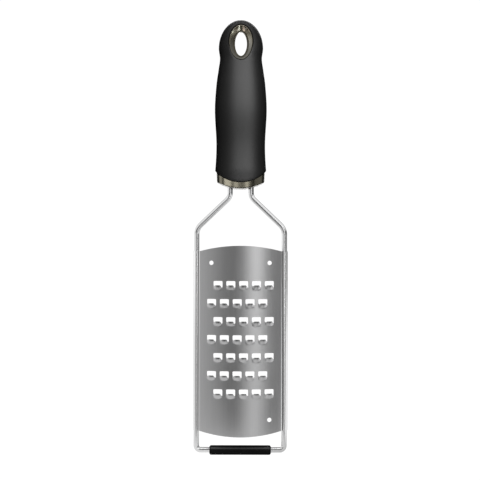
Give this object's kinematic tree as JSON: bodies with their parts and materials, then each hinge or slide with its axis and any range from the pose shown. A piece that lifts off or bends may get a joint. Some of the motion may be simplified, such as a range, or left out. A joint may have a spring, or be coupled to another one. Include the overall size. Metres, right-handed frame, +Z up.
{
  "type": "coarse grater",
  "caption": "Coarse hand grater: arched steel blade with scoop teeth, hemmed onto a bent wire frame, with a soft black handle, a hang eye and a rubber foot bar.",
  "frame": {"origin": "top of the hang eye's throat, on the mid-plane, where a hook bears", "axes": "+Z up along the handle to its tip, -Y out of the grating face, +X to the right as seen from the grating face"},
  "size_m": [0.0702, 0.0302, 0.3221],
  "materials": {
    "satin_steel": "satin stainless sheet, brushed along its length",
    "bright_steel": "bright polished stainless rod",
    "foot_rubber": "matte black rubber",
    "core_plastic": "black moulded plastic",
    "soft_grip": "soft-touch black, fine matte texture",
    "dark_trim": "dark bronze-grey metallised plastic"
  },
  "bodies": {
    "root": {"blade": "satin_steel", "frame_wire": "bright_steel", "foot_sleeve": "foot_rubber", "handle_core": "core_plastic", "grip_sleeve": "soft_grip", "collar_cap": "dark_trim", "hang_eyelet_front": "dark_trim", "hang_eyelet_back": "dark_trim"}
  },
  "joints": []
}
